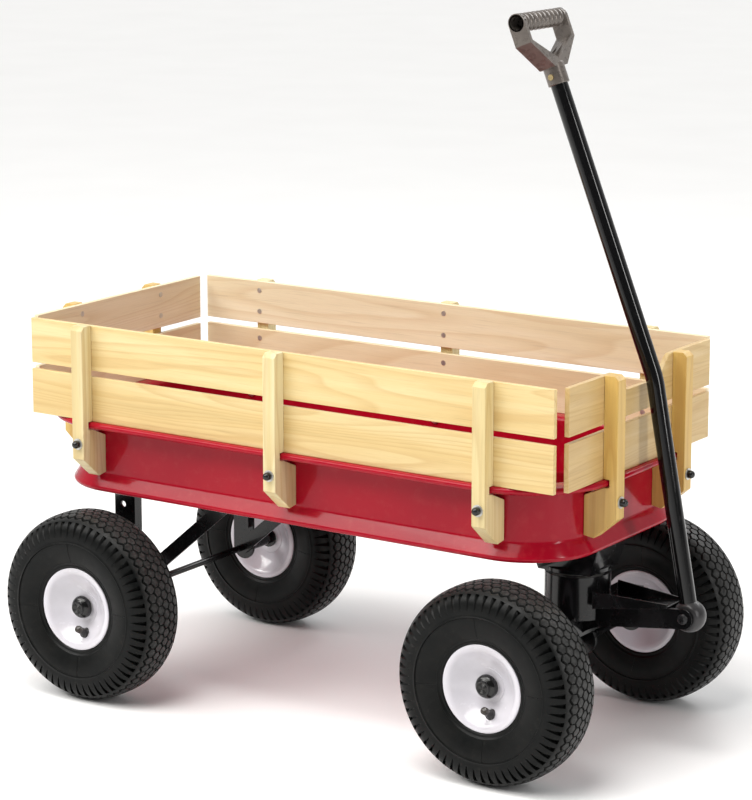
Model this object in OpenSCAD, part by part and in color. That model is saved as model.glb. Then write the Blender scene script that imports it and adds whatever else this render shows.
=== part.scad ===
// Wagon with pull handle: a steel tray with wooden sides, a steered front axle, four
// pneumatic wheels and a pull handle. Millimetres; X points to the handle, Y to the left, Z up.
// The modules work from the middle of the tray on the ground; at_origin() moves them so that the
// origin lies under the middle of the whole object.

/* [Tray] */
// Half length between the corner centres of the tray
tray_half_l = 322; // [310:1:335]
// Half width between the corner centres of the tray
tray_half_w = 92; // [88:1:96]
// Outside radius of the wall at the tray's corners
wall_r = 90; // [86:1:92]
// Height of the underside of the tray's floor
base_z = 291; // [288:1:292]
// Height of the top of the rim
rim_z = 396.5; // [394:0.5:397]
// Thickness of the tray's sheet steel
sheet_t = 1.6; // [1.2:0.1:2]
// Height that the floor's middle panel is raised
panel_rise = 6.4; // [5.4:0.2:8]

/* [Wooden sides] */
// Height of one slat
slat_h = 64; // [58:1:64]
// Gap between the lower and the upper slat
slat_gap = 9; // [6:1:10]
// Thickness of the slats
slat_t = 8; // [7:0.5:9]
// Distance from the corner centre to the outer face of the slats
slat_face_r = 118; // [117:0.5:118.5]
// Width of the stakes
stake_w = 20; // [18:1:24]
// Depth of the stakes outside the slats
stake_d = 21; // [18:1:24]
// Distance of the outer side stakes from the middle
side_stake_x = 330; // [300:5:335]
// Distance of the end stakes from the middle
end_stake_y = 92; // [88:1:95]

/* [Wheels] */
// Outside radius of the tyres
tyre_r = 135; // [125:1:137]
// Half width of the tyres
tyre_half_w = 45; // [40:1:46]
// Distance of the rear wheels' middle plane from the middle of the wagon
rear_wheel_y = 222.5; // [216:0.5:230]
// Distance of the front wheels' middle plane from the middle of the wagon
front_wheel_y = 210; // [208:0.5:224]
// Position of the rear axle
rear_axle_x = -318; // [-325:1:-300]
// Position of the front axle
front_axle_x = 346; // [340:1:350]
// Radius of both axles
axle_r = 5; // [4.5:0.25:6]

/* [Handle] */
// Height of the handle's pivot
pivot_z = 201; // [198:1:204]
// Position of the handle's pivot
pivot_x = 517; // [514:1:520]
// Lean of the lower tube from the vertical, in degrees
lower_lean = 10.67; // [10:0.1:11]
// Lean of the upper tube from the vertical, in degrees
upper_lean = 21.75; // [21:0.25:22]
// Length from the pivot to the corner of the bend
lower_len = 318.5; // [310:1:325]
// Length from the corner of the bend to the middle of the hand bar
upper_len = 495; // [460:1:500]
// Outside radius of the tube
tube_r = 11.75; // [11:0.25:12]
// Radius of the bend
bend_r = 120; // [80:5:160]

/* [Hidden] */
$fn = 96;

// Colours
red = [0.72, 0.04, 0.07];
wood = [0.93, 0.80, 0.55];
black = [0.05, 0.05, 0.06];
white = [0.93, 0.93, 0.94];
zinc = [0.72, 0.72, 0.74];
rubber = [0.08, 0.08, 0.09];
smoke = [0.22, 0.20, 0.20];

// Clearances and overshoots
eps = 0.01;
over = 1;
run_gap = 0.05;
end_gap = 0.3;

// Tray section: fillets, base band and rim bead
rim_fillet = 6;
bead_r = 4.5;
bead_out = 126;
knee_r = 8;
flare = 32;
flare_len = 17.5;
lip_r = 5;
lip_c = [wall_r + 6.25, base_z + lip_r];
knee_c = [wall_r + knee_r, lip_c[1] + (lip_r + knee_r) * sin(flare) + flare_len * cos(flare)];
floor_z = base_z + sheet_t;
panel_z = floor_z + panel_rise;
panel_half = [240, 125];
panel_corner = 40;

// Slats and stakes
slat_z = rim_z;
upper_z = slat_z + slat_h + slat_gap;
side_slat_half = 429;
end_slat_half = 190;
slat_faces = [slat_face_r - slat_t, slat_face_r];
stake_out = slat_face_r + stake_d;
stake_top = upper_z + slat_h + 1;
stake_chamfer = 6;
screw_zs = [slat_z + 18, slat_z + 50, upper_z + 18, upper_z + 50];
screw_head_r = 3.8;
screw_r = 1.8;
stake_bolt_z = 367;
bolt_r = 3;
cap_nut_r = 5.5;
cap_nut_len = 9;
washer_t = 1.5;

// Rear undercarriage
strap_t = 4;
bracket_y = 140;
bracket_half = 18;
brace_x = -118;
brace_w = 20;
brace_bolt_y = bracket_y + 7;
bracket_bolt_y = bracket_y - 20;

// Front undercarriage
bolster_half = [62, 60];
bolster_z = 242;
drum_r = 45;
drum_top = 238;
drum_base = 178;
kingpin_r = 8;
beam_half = [20, 150];
strap_y = [15, 20.5];
strap_h = 27;
strap_slope = 7.5;
strap_run = 113;
strap_arc_r = 110;
strap_turn = 37.5;
tongue_end_x = 494;
pivot_r = 4;
ball_r = 22;
ball_half = 14.5;

// Wheels: distances from the wheel's middle plane
hub_half = 17;
washer_w = 1.7;
cap_from = hub_half + end_gap + washer_w;
bearing_r = 12;
rim_lip_r = 59;
rim_half = 34.5;
seat_r = 51.8;
stem_at = [6, -36];

// Handle grip, along the upper tube from the end of the bend
bend = upper_lean - lower_lean;
bend_tangent = bend_r * tan(bend / 2);
bar_at = upper_len - bend_tangent;
bar_half = 56;
bar_r = 12.5;
sleeve_r = 14.5;
sleeve_from = bar_at - 89;
sleeve_to = bar_at - 60;
tube_wall = 1.6;
bend_swell = 0.2;
bend_overlap = 0.5;
socket_from = 8;

// Overall length runs from the rear cap nuts to the front of the ball
rear_end = -(tray_half_l + stake_out + washer_t + cap_nut_len);
front_end = pivot_x + ball_r;
origin_x = (rear_end + front_end) / 2;

chassis_points = concat(
  [for (x = [-40, 40], y = [-51, 51]) [front_axle_x + x, y]],
  [for (x = [-15, 15], y = [-bracket_bolt_y, bracket_bolt_y]) [rear_axle_x + x, y]],
  [for (y = [-brace_bolt_y, brace_bolt_y]) [brace_x, y]]);

function arc(c, r, a0, a1, n = 8) =
  [for (i = [0 : n]) let (a = a0 + (a1 - a0) * i / n) [c[0] + r * cos(a), c[1] + r * sin(a)]];

module at_origin() {
  translate([-origin_x, 0, 0]) children();
}

// Distance of the wheels on the axle at x from the middle of the wagon
function wheel_y(x) = x > 0 ? front_wheel_y : rear_wheel_y;

// Turns a shape so that its Z axis points sideways, away from the wagon (side -1 is right)
module outboard(x, side) {
  translate([x, side * wheel_y(x), tyre_r]) rotate([-side * 90, 0, 0]) children();
}

// Puts a shape drawn in a side view (X right, Z up) into the wagon, from y to y + t
module side_plate(y, t) {
  translate([0, y + t, 0]) rotate([90, 0, 0]) linear_extrude(t) children();
}

module ring(r_out, r_in, h) {
  difference() {
    cylinder(r = r_out, h = h);
    translate([0, 0, -over]) cylinder(r = r_in, h = h + 2 * over);
  }
}

// ---- Tray ----

module tray_section() {
  fillet_c = [wall_r + rim_fillet, rim_z - sheet_t - rim_fillet];
  bead_c = [bead_out - bead_r, rim_z - bead_r];
  bead_in = bead_r - sheet_t;
  polygon(concat(
    arc(bead_c, bead_r, -150, 90, 16),
    arc(fillet_c, rim_fillet + sheet_t, 90, 180),
    arc(knee_c, knee_r + sheet_t, 180, 180 + flare, 4),
    arc(lip_c, lip_r - sheet_t, flare, -90),
    [[0, floor_z], [0, base_z]],
    arc(lip_c, lip_r, -90, flare),
    arc(knee_c, knee_r, 180 + flare, 180, 4),
    arc(fillet_c, rim_fillet, 180, 90),
    arc(bead_c, bead_in, 90, -150, 12)));
}

module tray_straight(from, half, turn) {
  rotate([0, 0, turn]) translate([from, half, 0]) rotate([90, 0, 0])
    linear_extrude(2 * half) tray_section();
}

module rounded_plate(half, r, z, t) {
  translate([0, 0, z]) linear_extrude(t) union() {
    square([2 * half[0], 2 * (half[1] - r)], center = true);
    square([2 * (half[0] - r), 2 * half[1]], center = true);
    for (x = [-1, 1], y = [-1, 1])
      translate([x * (half[0] - r), y * (half[1] - r)]) circle(r = r);
  }
}

// Turns a section through a quarter circle at each corner of the tray
module at_corners() {
  for (c = [[1, 1, 0], [-1, 1, 90], [-1, -1, 180], [1, -1, 270]])
    translate([c[0] * tray_half_l, c[1] * tray_half_w, 0])
      rotate([0, 0, c[2]]) rotate_extrude(angle = 90) children();
}

module tray_shell() {
  for (turn = [0, 180]) tray_straight(tray_half_l, tray_half_w, turn);
  for (turn = [90, 270]) tray_straight(tray_half_w, tray_half_l, turn);
  at_corners() tray_section();
  translate([-tray_half_l, -tray_half_w, base_z])
    cube([2 * tray_half_l, 2 * tray_half_w, sheet_t]);
}

module tray() {
  inner = [panel_half[0] - sheet_t, panel_half[1] - sheet_t];
  color(red) difference() {
    union() {
      tray_shell();
      rounded_plate(panel_half, panel_corner, base_z, panel_z - base_z);
    }
    rounded_plate(inner, panel_corner - sheet_t, base_z - over, panel_z - base_z + over - sheet_t);
    each_stake() stake_bolt_hole();
    for (p = chassis_points)
      translate([p[0], p[1], base_z - over]) cylinder(r = bolt_r, h = sheet_t + 2 * over);
  }
}

// ---- Stakes and slats ----

// Draws its children once at each stake, with X pointing out from the corner centres
module side_stakes_at(side) {
  for (x = [-side_stake_x, 0, side_stake_x])
    translate([x, side * tray_half_w, 0]) rotate([0, 0, side * 90]) children();
}

module end_stakes_at(end) {
  for (y = [-end_stake_y, end_stake_y])
    translate([end * tray_half_l, y, 0]) rotate([0, 0, end > 0 ? 0 : 180]) children();
}

module each_stake() {
  for (s = [-1, 1]) {
    side_stakes_at(s) children();
    end_stakes_at(s) children();
  }
}

module stake_bolt_hole() {
  translate([wall_r - 10, 0, stake_bolt_z]) rotate([0, 90, 0]) cylinder(r = bolt_r, h = 80);
}

// One countersunk screw, from the slat's inner face into the stake
module screw(z) {
  translate([slat_faces[0], 0, z]) rotate([0, 90, 0]) {
    cylinder(r = screw_head_r, h = 1);
    translate([0, 0, 1 - eps]) cylinder(r1 = screw_head_r, r2 = screw_r, h = 2 + eps);
    cylinder(r = screw_r, h = 22);
  }
}

module screws_at_stake() {
  for (z = screw_zs) screw(z);
}

module stake() {
  difference() {
    translate([0, stake_w / 2, 0]) rotate([90, 0, 0]) linear_extrude(stake_w) polygon([
      [slat_face_r, stake_top],
      [stake_out - stake_chamfer, stake_top],
      [stake_out, stake_top - stake_chamfer],
      [stake_out, 345],
      [wall_r + 15, 316],
      [wall_r, 318.5],
      [wall_r, stake_bolt_z + 6],
      [slat_face_r + 2, rim_z - 2 * bead_r - 1.5],
      [bead_out + 1, rim_z - 2 * bead_r - 1],
      [bead_out + 1, rim_z + 0.5],
      [slat_face_r, rim_z + 0.5]]);
    screws_at_stake();
    stake_bolt_hole();
  }
}

module right_stakes() {
  color(wood) side_stakes_at(-1) stake();
}

module left_stakes() {
  color(wood) side_stakes_at(1) stake();
}

module front_stakes() {
  color(wood) end_stakes_at(1) stake();
}

module rear_stakes() {
  color(wood) end_stakes_at(-1) stake();
}

module side_slat(side, z) {
  color(wood) difference() {
    translate([-side_slat_half, side > 0 ? tray_half_w + slat_faces[0] : -tray_half_w - slat_faces[1], z])
      cube([2 * side_slat_half, slat_t, slat_h]);
    side_stakes_at(side) screws_at_stake();
  }
}

module end_slat(end, z) {
  color(wood) difference() {
    translate([end > 0 ? tray_half_l + slat_faces[0] : -tray_half_l - slat_faces[1], -end_slat_half, z])
      cube([slat_t, 2 * end_slat_half, slat_h]);
    end_stakes_at(end) screws_at_stake();
  }
}

// The notch between the front stakes, where the handle leans
module handle_notch() {
  top = upper_z + slat_h;
  floor_half = 38;
  mouth_half = 79;
  depth = 28.5;
  translate([tray_half_l + slat_faces[0] - over, 0, 0]) rotate([90, 0, 90])
    linear_extrude(slat_t + 2 * over) polygon([
      [-mouth_half - 3, top + over], [-mouth_half, top - 2], [-floor_half, top - depth],
      [floor_half, top - depth], [mouth_half, top - 2], [mouth_half + 3, top + over]]);
}

module right_upper_slat() {
  side_slat(-1, upper_z);
}

module right_lower_slat() {
  side_slat(-1, slat_z);
}

module left_upper_slat() {
  side_slat(1, upper_z);
}

module left_lower_slat() {
  side_slat(1, slat_z);
}

module front_upper_slat() {
  color(wood) difference() {
    end_slat(1, upper_z);
    handle_notch();
  }
}

module front_lower_slat() {
  end_slat(1, slat_z);
}

module rear_upper_slat() {
  end_slat(-1, upper_z);
}

module rear_lower_slat() {
  end_slat(-1, slat_z);
}

module slat_screws() {
  color(zinc) each_stake() screws_at_stake();
}

// ---- Stake bolts ----

module along_bolt(r) {
  translate([r, 0, stake_bolt_z]) rotate([0, 90, 0]) children();
}

// Round-headed bolts; the heads near the corners are hollowed to suit the curved wall
module stake_bolts() {
  head_h = 3.5;
  head_r = 7;
  paint_gap = 0.3;
  color(zinc) {
    difference() {
      each_stake() along_bolt(wall_r - sheet_t - paint_gap - head_h) rotate_extrude() polygon(concat(
        [[0, 0]], arc([head_r - head_h, head_h], head_h, -90, 0, 6), [[0, head_h]]));
      at_corners() translate([wall_r - sheet_t, stake_bolt_z - 10]) square([10, 20]);
    }
    each_stake() along_bolt(wall_r - sheet_t - 2)
      cylinder(r = bolt_r, h = stake_out - wall_r + sheet_t + 2 + washer_t + cap_nut_len - 3);
  }
}

module stake_washers() {
  color(zinc) each_stake() along_bolt(stake_out) ring(8, bolt_r, washer_t);
}

module stake_cap_nuts() {
  color(black) each_stake() along_bolt(stake_out + washer_t) difference() {
    rotate_extrude() polygon(concat(
      [[0, 0], [cap_nut_r, 0]], arc([0, cap_nut_len - cap_nut_r], cap_nut_r, 0, 90)));
    translate([0, 0, -over]) cylinder(r = bolt_r, h = cap_nut_len - 3 + over);
  }
}

// ---- Rear undercarriage ----

module rear_bracket(side) {
  y = side * bracket_y;
  flange = 34;
  color(black) difference() {
    union() {
      side_plate(side > 0 ? y : y - strap_t, strap_t) union() {
        translate([rear_axle_x - bracket_half, tyre_r])
          square([2 * bracket_half, base_z - tyre_r]);
        translate([rear_axle_x, tyre_r]) circle(r = bracket_half);
      }
      translate([rear_axle_x - 27, side > 0 ? y - flange + strap_t : y - strap_t, base_z - strap_t])
        cube([54, flange, strap_t]);
      translate([rear_axle_x + bracket_half - strap_t, side > 0 ? y - 12 : y, 170])
        cube([strap_t, 12, base_z - 170]);
    }
    translate([rear_axle_x, -200, tyre_r]) rotate([-90, 0, 0]) cylinder(r = axle_r, h = 400);
    translate([rear_axle_x - 3, -200, 263]) rotate([-90, 0, 0]) cylinder(r = 4.5, h = 400);
    for (x = [-15, 15])
      translate([rear_axle_x + x, side * bracket_bolt_y, base_z - 10]) cylinder(r = bolt_r, h = 20);
  }
}

module rear_bracket_right() {
  rear_bracket(-1);
}

module rear_bracket_left() {
  rear_bracket(1);
}

module rear_brace(side) {
  t = strap_t;
  slope = atan2(base_z - strap_t / 2 - tyre_r, brace_x - 20 - rear_axle_x);
  length = norm([brace_x - 20 - rear_axle_x, base_z - strap_t / 2 - tyre_r]);
  y = side * bracket_y;
  difference() {
    union() {
      side_plate(side > 0 ? y - t : y, t) intersection() {
        translate([rear_axle_x, tyre_r]) rotate(slope) union() {
          circle(r = brace_w / 2);
          translate([0, -brace_w / 2]) square([length + 20, brace_w]);
        }
        translate([rear_axle_x - 50, 0]) square([400, base_z]);
      }
      translate([brace_x - 36, side > 0 ? y - t : y - 14, base_z - strap_t])
        cube([50, 14 + t, strap_t]);
    }
    translate([rear_axle_x, -200, tyre_r]) rotate([-90, 0, 0]) cylinder(r = axle_r, h = 400);
    translate([brace_x, side * brace_bolt_y, base_z - 10]) cylinder(r = bolt_r, h = 20);
  }
}

module rear_braces() {
  color(black) for (s = [-1, 1]) rear_brace(s);
}

// ---- Axles ----

module axle(x) {
  half = wheel_y(x) + 26;
  color(black) translate([x, -half, tyre_r]) rotate([-90, 0, 0]) cylinder(r = axle_r, h = 2 * half);
}

// Sleeves that hold the wheels off the frame, with a flange against the hub
module axle_spacers(x, from) {
  flange_at = hub_half + end_gap;
  color(black) for (s = [-1, 1]) outboard(x, s) {
    translate([0, 0, -flange_at - 3]) ring(14, axle_r, 3);
    translate([0, 0, from - wheel_y(x)]) ring(9, axle_r, wheel_y(x) - from - flange_at - 3 + eps);
  }
}

module axle_washers(x) {
  color(zinc) for (s = [-1, 1]) outboard(x, s)
    translate([0, 0, hub_half + end_gap]) ring(13, axle_r, washer_w);
}

module axle_caps(x) {
  length = 14;
  color(black) for (s = [-1, 1]) outboard(x, s) translate([0, 0, cap_from]) difference() {
    rotate_extrude() polygon(concat(
      [[0, 0], [16, 0]], arc([8, 3], 8, 0, 65, 6), [[9.6, 10.6]],
      arc([8.6, length - 1], 1, 0, 90, 4), [[0, length]]));
    translate([0, 0, -over]) cylinder(r = axle_r, h = 26 - cap_from + over);
  }
}

module rear_axle() {
  axle(rear_axle_x);
}

module rear_axle_spacers() {
  axle_spacers(rear_axle_x, bracket_y + strap_t);
}

module rear_axle_washers() {
  axle_washers(rear_axle_x);
}

module rear_axle_caps() {
  axle_caps(rear_axle_x);
}

module front_axle() {
  axle(front_axle_x);
}

module front_axle_spacers() {
  axle_spacers(front_axle_x, beam_half[1]);
}

module front_axle_washers() {
  axle_washers(front_axle_x);
}

module front_axle_caps() {
  axle_caps(front_axle_x);
}

// ---- Bolts through the floor ----

module chassis_bolts() {
  head_h = 3.6;
  color(zinc) for (p = chassis_points) translate([p[0], p[1], 0]) {
    translate([0, 0, floor_z]) rotate_extrude()
      polygon(concat([[0, 0], [3, 0]], arc([3, 0], head_h, 0, 90, 6), [[0, head_h]]));
    translate([0, 0, base_z - strap_t - 7]) cylinder(r = bolt_r, h = sheet_t + strap_t + 7 + eps);
  }
}

module chassis_nuts() {
  color(zinc) for (p = chassis_points)
    translate([p[0], p[1], base_z - strap_t - 5]) difference() {
      cylinder(r = 6.2, h = 5, $fn = 6);
      translate([0, 0, -over]) cylinder(r = bolt_r, h = 5 + 2 * over);
    }
}

// ---- Front bolster and kingpin ----

// A tapered box: half sizes at the bottom and the top
module tapered_box(low, high, z0, z1) {
  intersection() {
    translate([0, 100, 0]) rotate([90, 0, 0]) linear_extrude(200)
      polygon([[-low[0], z0], [low[0], z0], [high[0], z1], [-high[0], z1]]);
    translate([-100, 0, 0]) rotate([90, 0, 90]) linear_extrude(200)
      polygon([[-low[1], z0], [low[1], z0], [high[1], z1], [-high[1], z1]]);
  }
}

module front_bolster() {
  wall = 4;
  low = [40, 38];
  high = [56, 42];
  color(black) translate([front_axle_x, 0, 0]) difference() {
    union() {
      tapered_box(low, high, bolster_z, base_z);
      translate([0, 0, bolster_z]) cylinder(r = drum_r, h = 5);
      translate([-bolster_half[0], -bolster_half[1], base_z - strap_t])
        cube([2 * bolster_half[0], 2 * bolster_half[1], strap_t]);
    }
    tapered_box([low[0] - wall, low[1] - wall], [high[0] - wall, high[1] - wall],
      bolster_z + 5, base_z + eps);
    translate([0, 0, bolster_z - over]) cylinder(r = kingpin_r, h = 10);
    for (x = [-40, 40], y = [-51, 51])
      translate([x, y, base_z - 10]) cylinder(r = bolt_r, h = 20);
  }
}

module kingpin() {
  color(zinc) translate([front_axle_x, 0, 0]) {
    translate([0, 0, bolster_z + 5]) cylinder(r = 14, h = 9, $fn = 6);
    translate([0, 0, 190]) cylinder(r = kingpin_r, h = bolster_z + 5 - 190 + eps);
  }
}

module kingpin_nut() {
  color(zinc) translate([front_axle_x, 0, 192]) difference() {
    cylinder(r = 14, h = 12, $fn = 6);
    translate([0, 0, -over]) cylinder(r = kingpin_r, h = 12 + 2 * over);
  }
}

module thrust_washer() {
  color(zinc) translate([front_axle_x, 0, drum_top + end_gap])
    ring(36, kingpin_r, bolster_z - drum_top - end_gap);
}

// ---- Steering body ----

module steering_yoke() {
  wall = 4;
  top = 6;
  boss_z = 204.5;
  skirt = 26;
  color(black) translate([front_axle_x, 0, 0]) difference() {
    union() {
      difference() {
        translate([0, 0, drum_base]) cylinder(r = drum_r, h = drum_top - drum_base);
        translate([0, 0, drum_base - over])
          cylinder(r = drum_r - wall, h = drum_top - drum_base - top + over);
      }
      translate([0, 0, boss_z]) cylinder(r = 15, h = drum_top - boss_z - eps);
      difference() {
        translate([-beam_half[0], -beam_half[1], drum_base - skirt])
          cube([2 * beam_half[0], 2 * beam_half[1], skirt + wall]);
        translate([-beam_half[0] + wall, -beam_half[1] - over, drum_base - skirt - over])
          cube([2 * (beam_half[0] - wall), 2 * (beam_half[1] + over), skirt + over]);
        translate([0, 0, drum_base - over]) cylinder(r = drum_r - wall, h = 10);
      }
      for (s = [-1, 1]) translate([0, s > 0 ? beam_half[1] - wall : -beam_half[1], 0])
        side_plate(0, wall) union() {
          translate([-beam_half[0], tyre_r]) square([2 * beam_half[0], drum_base + wall - tyre_r]);
          translate([0, tyre_r]) circle(r = beam_half[0]);
        }
    }
    translate([0, 0, boss_z - over]) cylinder(r = kingpin_r + run_gap, h = 40);
    translate([0, -200, tyre_r]) rotate([-90, 0, 0]) cylinder(r = axle_r, h = 400);
    translate([-front_axle_x, 0, 0]) both_straps();
  }
}

// Curved flat bar from the axle to the handle's pivot, from y to y + t
module tongue_strap(y, t) {
  half = strap_h / 2;
  arc_c = [-strap_run, -strap_arc_r];
  bend_end = 90 + strap_turn;
  difference() {
    union() {
      side_plate(y, t) translate([pivot_x, pivot_z]) rotate(strap_slope) polygon(concat(
        arc([0, 0], half, -90, 90, 16),
        arc(arc_c, strap_arc_r + half, 90, bend_end),
        arc(arc_c, strap_arc_r - half, bend_end, 90)));
      side_plate(y, t) translate([front_axle_x, tyre_r]) circle(r = 20);
    }
    translate([pivot_x, -50, pivot_z]) rotate([-90, 0, 0]) cylinder(r = pivot_r, h = 100);
    translate([front_axle_x, -50, tyre_r]) rotate([-90, 0, 0]) cylinder(r = axle_r, h = 100);
  }
}

module both_straps() {
  t = strap_y[1] - strap_y[0];
  tongue_strap(strap_y[0], t);
  tongue_strap(-strap_y[1], t);
}

module tongue_straps() {
  color(black) both_straps();
}

// Tapered plate on the straps, with raised edges that fall towards the ball
module tongue_channel() {
  rear_x = front_axle_x + drum_r - 2;
  sheet = 2.5;
  rear_half = 36;
  front_half = strap_y[1] + 1;
  bed = function (x) pivot_z + strap_h / 2 / cos(strap_slope) + (x - pivot_x) * tan(strap_slope) + 0.1;
  color(black) difference() {
    intersection() {
      translate([0, 0, 150]) linear_extrude(100) polygon([
        [rear_x, -rear_half], [tongue_end_x, -front_half],
        [tongue_end_x, front_half], [rear_x, rear_half]]);
      side_plate(-60, 120) polygon([
        [rear_x, bed(rear_x)], [tongue_end_x, bed(tongue_end_x)],
        [tongue_end_x, bed(tongue_end_x) + 5.5], [rear_x, bed(rear_x) + 24]]);
    }
    intersection() {
      translate([0, 0, 150]) linear_extrude(110) polygon([
        [rear_x - over, -rear_half + sheet], [tongue_end_x + over, -front_half + sheet],
        [tongue_end_x + over, front_half - sheet], [rear_x - over, rear_half - sheet]]);
      side_plate(-60, 120) polygon([
        [rear_x - over, bed(rear_x - over) + sheet], [tongue_end_x + over, bed(tongue_end_x + over) + sheet],
        [tongue_end_x + over, 260], [rear_x - over, 260]]);
    }
    translate([front_axle_x, 0, drum_base - over]) cylinder(r = drum_r, h = 100);
  }
}

module pivot_bolt() {
  head_h = 3.5;
  color(zinc) translate([pivot_x, -strap_y[1], pivot_z]) rotate([-90, 0, 0]) {
    translate([0, 0, -head_h]) cylinder(r1 = 5, r2 = 7.5, h = head_h);
    translate([0, 0, -eps]) cylinder(r = pivot_r, h = 2 * strap_y[1] + 6 + eps);
  }
}

module pivot_nut() {
  color(zinc) translate([pivot_x, strap_y[1], pivot_z]) rotate([-90, 0, 0]) difference() {
    cylinder(r = 7.5, h = 5.5, $fn = 6);
    translate([0, 0, -over]) cylinder(r = pivot_r, h = 5.5 + 2 * over);
  }
}

// ---- Handle ----

module lower_frame() {
  translate([pivot_x, 0, pivot_z]) rotate([0, -lower_lean, 0]) children();
}

module upper_frame() {
  lower_frame() translate([-bend_r, 0, lower_len - bend_tangent])
    rotate([0, -bend, 0]) translate([bend_r, 0, 0]) children();
}

module pull_ball() {
  color(black) difference() {
    translate([pivot_x, 0, pivot_z]) intersection() {
      sphere(r = ball_r);
      cube([60, 2 * ball_half, 60], center = true);
    }
    translate([pivot_x, -50, pivot_z]) rotate([-90, 0, 0]) cylinder(r = pivot_r + run_gap, h = 100);
    lower_frame() translate([0, 0, socket_from]) cylinder(r = tube_r, h = 40);
  }
}

// The bent run of the tube at radius r, longer at each end by the given amount. The bend is
// drawn a little thicker than the straights, which reach into it.
module tube_run(r, more) {
  straight = lower_len - bend_tangent;
  translate([0, 0, socket_from - more])
    cylinder(r = r, h = straight - socket_from + more + bend_overlap);
  translate([-bend_r, 0, straight]) rotate([90, 0, 0]) {
    rotate_extrude(angle = bend) translate([bend_r, 0]) circle(r = r + bend_swell);
    rotate([0, 0, bend]) translate([bend_r, -bend_overlap, 0]) rotate([-90, 0, 0])
      cylinder(r = r, h = sleeve_to - 6 + more + bend_overlap);
  }
}

module handle_tube() {
  color(black) lower_frame() difference() {
    tube_run(tube_r, 0);
    tube_run(tube_r - tube_wall, over);
  }
}

// Hand bar across the top, with raised rings and an open end
module hand_bar() {
  rings = 9;
  ring_r = 12.3;
  groove_r = 10.9;
  collar = 9;
  bore_r = 9;
  pitch = 2 * (bar_half - collar) / rings;
  rotate([90, 0, 0]) translate([0, 0, -bar_half]) rotate_extrude() polygon(concat(
    [[bore_r, 0], [bar_r - 1, 0], [bar_r, 1], [bar_r, collar]],
    [for (i = [0 : rings - 1], s = [0 : 7])
      [groove_r + (ring_r - groove_r) * sin(180 * s / 8), collar + pitch * (i + s / 8)]],
    [[groove_r, 2 * bar_half - collar], [bar_r, 2 * bar_half - collar],
     [bar_r, 2 * bar_half - 1], [bar_r - 1, 2 * bar_half], [bore_r, 2 * bar_half]]));
}

module grip_arm() {
  half_w = 12.5;
  t = 6;
  knee = -30;
  foot = sleeve_to - bar_at;
  translate([-half_w, 0, 0]) rotate([90, 0, 90]) linear_extrude(2 * half_w) polygon([
    [bar_half - t, -9], [bar_half, -9], [bar_half, knee], [sleeve_r + 1, foot - 6],
    [sleeve_r - 4, foot - 6], [0, foot], [0, foot + 3], [bar_half - t, knee + 4]]);
}

module grip() {
  color(smoke) upper_frame() difference() {
    union() {
      translate([0, 0, sleeve_from]) cylinder(r = sleeve_r, h = sleeve_to - sleeve_from);
      translate([0, 0, bar_at]) hand_bar();
      translate([0, 0, bar_at]) for (m = [0, 1]) mirror([0, m, 0]) grip_arm();
    }
    translate([0, 0, sleeve_from - over]) cylinder(r = tube_r, h = sleeve_to - 6 - sleeve_from + over);
    grip_screw_shape();
  }
}

module grip_screw_shape() {
  translate([0, -sleeve_r - 1.5, sleeve_from + 11]) rotate([-90, 0, 0]) {
    cylinder(r = 4, h = 2.5);
    cylinder(r = 2, h = 5);
  }
}

module grip_screw() {
  color(zinc) upper_frame() intersection() {
    grip_screw_shape();
    difference() {
      translate([0, 0, sleeve_from]) cylinder(r = 40, h = 30);
      cylinder(r = tube_r, h = bar_at);
    }
  }
}

// ---- Wheels ----

// Half width of the tyre's outer skin at radius r, below its widest place
widest_r = 98;
function sidewall(r, inset) = tyre_half_w - inset - pow(widest_r - r, 2) / 144;

module tyre_section() {
  wall = 6.5;
  n = 12;
  crown = tyre_r - widest_r;
  power = 0.72;
  outer = [for (i = [0 : 2 * n]) let (a = 90 * i / n, c = cos(a))
    [widest_r + crown * pow(sin(a), power), tyre_half_w * sign(c) * pow(abs(c), power)]];
  inner = [for (i = [2 * n : -1 : 0]) let (a = 90 * i / n, c = cos(a))
    [widest_r + (crown - wall - 1) * pow(sin(a), power),
     (tyre_half_w - wall) * sign(c) * pow(abs(c), power)]];
  low = [rim_lip_r + 2, 68, 78, 88];
  bead = [[seat_r, rim_half - 9], [seat_r, rim_half - 4.2],
    [seat_r + 2.5, rim_half - 1.7], [rim_lip_r, rim_half - 0.7]];
  polygon(concat(
    bead,
    [for (r = low) [r, sidewall(r, 0)]],
    outer,
    [for (i = [len(low) - 1 : -1 : 0]) [low[i], -sidewall(low[i], 0)]],
    [for (i = [3 : -1 : 0]) [bead[i][0], -bead[i][1]]],
    [for (r = low) [r + 3, -sidewall(r + 3, wall)]],
    inner,
    [for (i = [len(low) - 1 : -1 : 0]) [low[i] + 3, sidewall(low[i] + 3, wall)]]));
}

module tyre(x, side) {
  color(rubber) outboard(x, side) rotate_extrude() tyre_section();
}

// Dish of the wheel: distance of its outer face from the middle plane at radius r
function dish(r) = hub_half - 1 + (rim_half - hub_half) * pow((r - 17) / (seat_r - 19), 2.4);

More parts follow.
